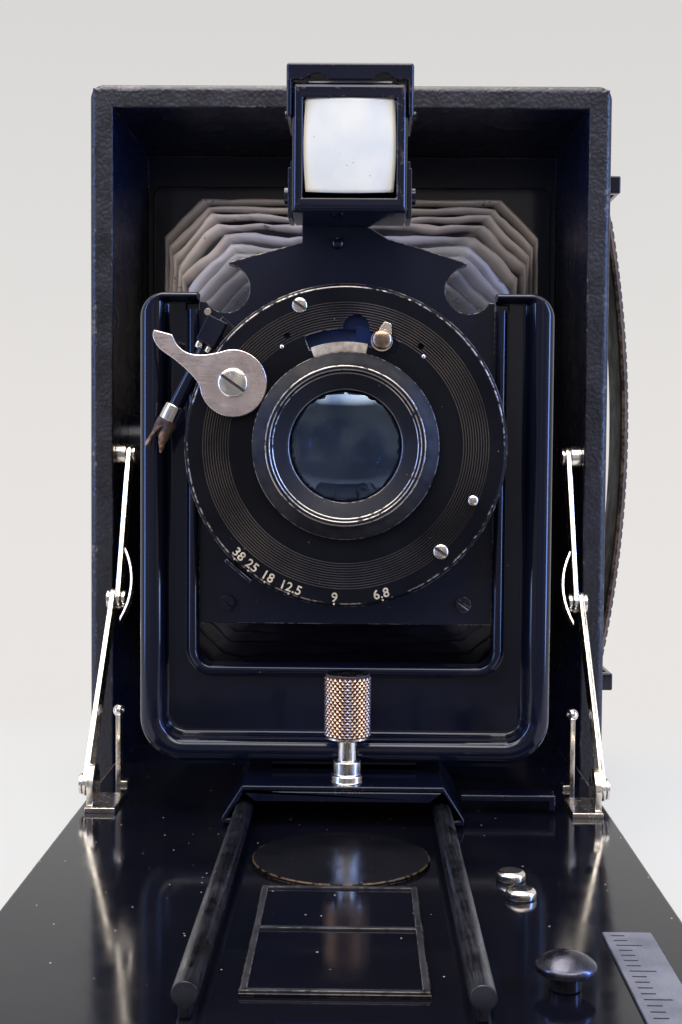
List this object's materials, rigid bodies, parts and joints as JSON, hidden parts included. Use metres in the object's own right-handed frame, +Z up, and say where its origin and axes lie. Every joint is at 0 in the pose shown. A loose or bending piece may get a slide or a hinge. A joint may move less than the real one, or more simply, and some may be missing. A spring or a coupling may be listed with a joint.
{
  "type": "plate camera",
  "caption": "Folding-bed plate camera with leather case, tapered bellows, sliding U-shaped standard, dial-set shutter and lens, turning reflex finder, struts and focusing screen.",
  "frame": {"origin": "centre of the mouth of the tripod socket in the underside of the bed", "axes": "+X to the viewer's right, +Y from the lens back into the case, +Z up; the base lies on the plane z = 0"},
  "size_m": [0.1223, 0.2039, 0.1583],
  "materials": {
    "leather_black": "grained, worn at the edges",
    "leather_brown": "smooth, aged",
    "bellows_leather": "fine leather, rubbed on the folds",
    "enamel_black": "glossy black enamel",
    "matte_black": "matt black lacquer",
    "case_black": "black lacquered wood",
    "nickel": "nickel plate",
    "nickel_satin": "satin nickel",
    "steel_dark": "blued steel",
    "brass": "brass",
    "lens_glass": "polished",
    "screen_glass": "ground",
    "mirror": "silvered",
    "rubber_brown": "perished rubber"
  },
  "bodies": {
    "case": {"case_shell": "case_black", "case_leather": "leather_black", "bottom_leather": "leather_black", "floor_rails": "enamel_black", "bellows_frame": "enamel_black", "bellows": "bellows_leather", "back_frame": "enamel_black", "strap": "leather_brown", "strap_loops": "matte_black", "side_tripod_bush": "brass", "bed_board": "case_black", "bed_rails": "enamel_black", "tripod_bush": "brass", "label_plate": "matte_black", "distance_scale": "nickel_satin", "bed_stops": "nickel", "bed_catch": "nickel", "hinge_leaves": "matte_black", "hinge_pin": "nickel", "upper_braces": "nickel", "lower_braces": "nickel", "brace_fittings": "nickel", "brace_springs": "nickel"},
    "screen": {"screen_frame": "enamel_black", "ground_glass": "screen_glass"},
    "screen_hood": {"screen_hood": "leather_black"},
    "release_button": {"release_button": "nickel"},
    "standard": {"carriage": "enamel_black", "carriage_arm": "enamel_black", "standard_frame": "enamel_black", "lens_board": "matte_black", "standard_screws": "nickel", "shutter_case": "matte_black", "shutter_plate": "steel_dark", "face_plate": "matte_black", "speed_tab": "nickel_satin", "lens_barrel": "matte_black", "front_glass": "lens_glass", "rear_cell": "matte_black", "rear_glass": "lens_glass", "release_tube": "matte_black", "release_collar": "nickel", "hose_stub": "rubber_brown"},
    "clamp_knob": {"clamp_knob": "nickel"},
    "speed_selector": {"speed_selector": "nickel"},
    "aperture_ring": {"aperture_ring": "nickel"},
    "iris_blade_1": {"iris_blade_1": "steel_dark"},
    "iris_blade_2": {"iris_blade_2": "steel_dark"},
    "iris_blade_3": {"iris_blade_3": "steel_dark"},
    "iris_blade_4": {"iris_blade_4": "steel_dark"},
    "iris_blade_5": {"iris_blade_5": "steel_dark"},
    "shutter_lever": {"shutter_lever": "nickel_satin"},
    "shutter_blade_a": {"shutter_blade_a": "steel_dark"},
    "shutter_blade_b": {"shutter_blade_b": "steel_dark"},
    "finder": {"finder_bracket": "enamel_black", "finder_body": "enamel_black", "finder_lens": "lens_glass", "finder_mirror": "mirror", "finder_top_lens": "lens_glass"},
    "finder_hood": {"finder_hood": "enamel_black"}
  },
  "joints": [
    {"name": "standard_slide", "type": "slide", "parent": "case", "child": "standard", "axis": [0, -1, 0], "range_m": [-0.067, 0.058], "deforming": ["bellows"]},
    {"name": "clamp_knob_turn", "type": "hinge", "parent": "standard", "child": "clamp_knob", "pos_m": [0.0007, 0.0247, 0.025], "axis": [0, 0, 1], "range_deg": [-90, 180]},
    {"name": "finder_turn", "type": "hinge", "parent": "standard", "child": "finder", "pos_m": [0.0004, 0.0315, 0.121], "axis": [0, -1, 0], "range_deg": [-90, 0]},
    {"name": "finder_hood_turn", "type": "hinge", "parent": "finder", "child": "finder_hood", "pos_m": [0.0004, 0.0276, 0.1388], "axis": [-1, 0, 0], "range_deg": [0, 95]},
    {"name": "shutter_lever_turn", "type": "hinge", "parent": "standard", "child": "shutter_lever", "pos_m": [-0.0204, 0.0207, 0.0892], "axis": [0, -1, 0], "range_deg": [0, 28], "stiffness_Nm_per_rad": 0.02, "springref_deg": -11.46},
    {"name": "speed_selector_turn", "type": "hinge", "parent": "standard", "child": "speed_selector", "pos_m": [0, 0.022, 0.078], "axis": [0, -1, 0], "range_deg": [0, 35]},
    {"name": "aperture_ring_turn", "type": "hinge", "parent": "standard", "child": "aperture_ring", "pos_m": [0, 0.0244, 0.078], "axis": [0, 1, 0], "range_deg": [-54, 5]},
    {"name": "iris_blade_1_turn", "type": "hinge", "parent": "standard", "child": "iris_blade_1", "pos_m": [0, 0.0255, 0.0942], "axis": [0, 1, 0], "range_deg": [-2.8, 28.2]},
    {"name": "iris_blade_2_turn", "type": "hinge", "parent": "standard", "child": "iris_blade_2", "pos_m": [0.01541, 0.0255, 0.08301], "axis": [0, 1, 0], "range_deg": [-2.8, 28.2]},
    {"name": "iris_blade_3_turn", "type": "hinge", "parent": "standard", "child": "iris_blade_3", "pos_m": [0.00952, 0.0255, 0.06489], "axis": [0, 1, 0], "range_deg": [-2.8, 28.2]},
    {"name": "iris_blade_4_turn", "type": "hinge", "parent": "standard", "child": "iris_blade_4", "pos_m": [-0.00952, 0.0255, 0.06489], "axis": [0, 1, 0], "range_deg": [-2.8, 28.2]},
    {"name": "iris_blade_5_turn", "type": "hinge", "parent": "standard", "child": "iris_blade_5", "pos_m": [-0.01541, 0.0255, 0.08301], "axis": [0, 1, 0], "range_deg": [-2.8, 28.2]},
    {"name": "shutter_blade_a_turn", "type": "hinge", "parent": "standard", "child": "shutter_blade_a", "pos_m": [0, 0.028, 0.058], "axis": [0, -1, 0], "range_deg": [0, 32.5]},
    {"name": "shutter_blade_b_turn", "type": "hinge", "parent": "standard", "child": "shutter_blade_b", "pos_m": [0, 0.028, 0.058], "axis": [0, 1, 0], "range_deg": [0, 32.5]},
    {"name": "screen_slide", "type": "slide", "parent": "case", "child": "screen", "axis": [0, 0, 1], "range_m": [0, 0.12]},
    {"name": "screen_hood_turn", "type": "hinge", "parent": "screen", "child": "screen_hood", "pos_m": [0, 0.13165, 0.0192], "axis": [-1, 0, 0], "range_deg": [0, 100]},
    {"name": "release_button_press", "type": "slide", "parent": "case", "child": "release_button", "axis": [0, 0, -1], "range_m": [0, 0.001], "stiffness_N_per_m": 400, "springref_m": -0.0006}
  ],
  "couplings": [
    {"joint": "iris_blade_1_turn", "follows": "aperture_ring_turn", "ratio": -0.52},
    {"joint": "iris_blade_2_turn", "follows": "aperture_ring_turn", "ratio": -0.52},
    {"joint": "iris_blade_3_turn", "follows": "aperture_ring_turn", "ratio": -0.52},
    {"joint": "iris_blade_4_turn", "follows": "aperture_ring_turn", "ratio": -0.52},
    {"joint": "iris_blade_5_turn", "follows": "aperture_ring_turn", "ratio": -0.52},
    {"joint": "shutter_blade_a_turn", "follows": "shutter_lever_turn", "ratio": 1.15},
    {"joint": "shutter_blade_b_turn", "follows": "shutter_lever_turn", "ratio": 1.15}
  ]
}
